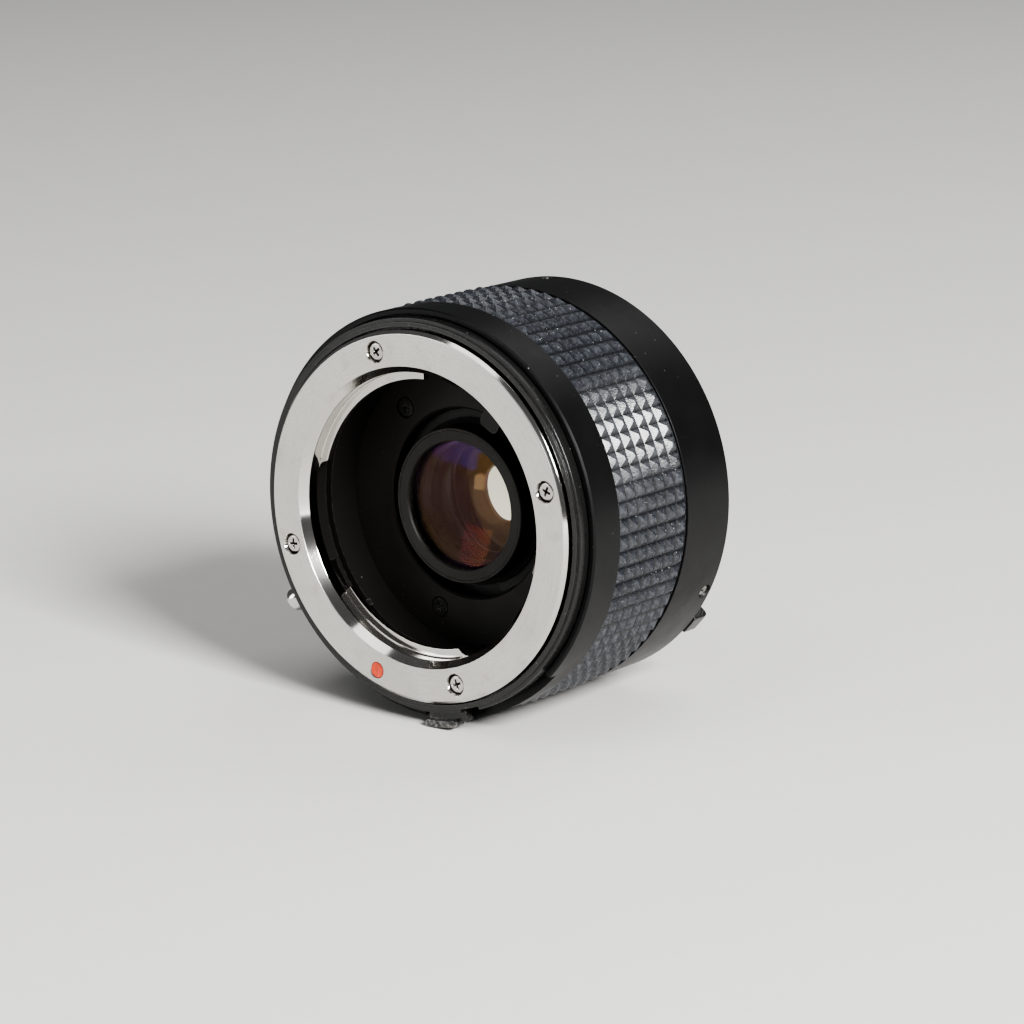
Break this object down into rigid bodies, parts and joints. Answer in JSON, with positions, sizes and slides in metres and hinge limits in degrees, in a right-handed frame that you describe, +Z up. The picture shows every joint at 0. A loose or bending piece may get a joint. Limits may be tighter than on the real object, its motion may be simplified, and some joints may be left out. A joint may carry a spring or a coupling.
{
  "type": "camera teleconverter",
  "caption": "Short black tube of lenses with a chrome bayonet socket in front, a pyramid rubber grip and a male bayonet behind; it doubles a lens's focal length.",
  "frame": {"origin": "centre of the rear mounting flange's face, on the optical axis", "axes": "+Y along the optical axis towards the camera, so the lens side looks towards -Y; +Z up as it lies on its side; +X to the right seen from the lens side"},
  "size_m": [0.0692, 0.0483, 0.0699],
  "materials": {
    "front_chrome": "satin chrome plate with fine turning marks, polished bevel",
    "rear_chrome": "satin chrome plate",
    "flange_screws": "plated cross-head screws",
    "index_red": "orange-red paint in a recess",
    "spring_steel": "bright spring steel",
    "coupling_black": "semi-gloss black, worn bright at the edges",
    "barrel_black": "aluminium, satin black anodised",
    "set_screws": "small plated screws",
    "grip_rubber": "dark blue-grey rubber, dusty",
    "inside_black": "aluminium, matt black anodised",
    "baffle_black": "aluminium, matt brown-black anodised",
    "baffle_screws": "blackened screws",
    "linkage_steel": "plated steel",
    "lever_black": "blackened steel",
    "cell_black": "aluminium, matt black anodised",
    "coated_glass": "anti-reflection coated, amber and green reflections",
    "inner_glass": "clear optical glass",
    "button_chrome": "polished chrome"
  },
  "bodies": {
    "barrel": {"front_mount_ring": "front_chrome", "front_mount_screws": "flange_screws", "front_index_dot": "index_red", "bayonet_springs": "spring_steel", "barrel_shell": "barrel_black", "grip_sleeve": "grip_rubber", "rear_barrel": "barrel_black", "barrel_set_screws": "set_screws", "rear_index_dot": "index_red", "main_tube": "inside_black", "front_baffle": "baffle_black", "front_baffle_screws": "baffle_screws", "aperture_ring_clip": "lever_black", "aperture_spring": "spring_steel", "lens_cell": "cell_black", "lens_cell_screws": "set_screws", "front_retaining_ring": "cell_black", "front_lens": "coated_glass", "front_lens_spacer": "inside_black", "second_lens": "inner_glass", "third_lens": "inner_glass", "rear_lens_spacer": "inside_black", "rear_lens": "coated_glass", "rear_retaining_ring": "cell_black", "rear_baffle": "baffle_black", "lock_lever_pin": "linkage_steel", "lock_lever_spring": "spring_steel", "rear_mount_ring": "rear_chrome", "rear_mount_screws": "flange_screws"},
    "meter_coupling": {"meter_ring": "coupling_black", "meter_link_bars": "coupling_black", "rear_meter_ring": "coupling_black"},
    "aperture_linkage": {"aperture_ring": "lever_black", "front_aperture_lever": "lever_black", "rear_aperture_lever": "linkage_steel"},
    "release": {"release_button": "button_chrome", "release_stem": "linkage_steel"},
    "lock": {"lock_lever": "lever_black"}
  },
  "joints": [
    {"name": "meter_turn", "type": "hinge", "parent": "barrel", "child": "meter_coupling", "pos_m": [0, -0.03855, 0], "axis": [0, -1, 0], "range_deg": [0, 30]},
    {"name": "aperture_turn", "type": "hinge", "parent": "barrel", "child": "aperture_linkage", "pos_m": [0, -0.02405, 0], "axis": [0, -1, 0], "range_deg": [0, 20], "stiffness_Nm_per_rad": 0.02, "springref_deg": -28.65, "deforming": ["aperture_spring"]},
    {"name": "release_press", "type": "slide", "parent": "barrel", "child": "release", "axis": [0.8434, 0, 0.5373], "range_m": [0, 0.0012], "stiffness_N_per_m": 400, "springref_m": -0.002},
    {"name": "lock_turn", "type": "hinge", "parent": "barrel", "child": "lock", "pos_m": [-0.02068, -0.0363, -0.01735], "axis": [0, -1, 0], "range_deg": [-22, 0]}
  ],
  "couplings": [
    {"joint": "lock_turn", "follows": "release_press", "rad_per_m": -318}
  ]
}
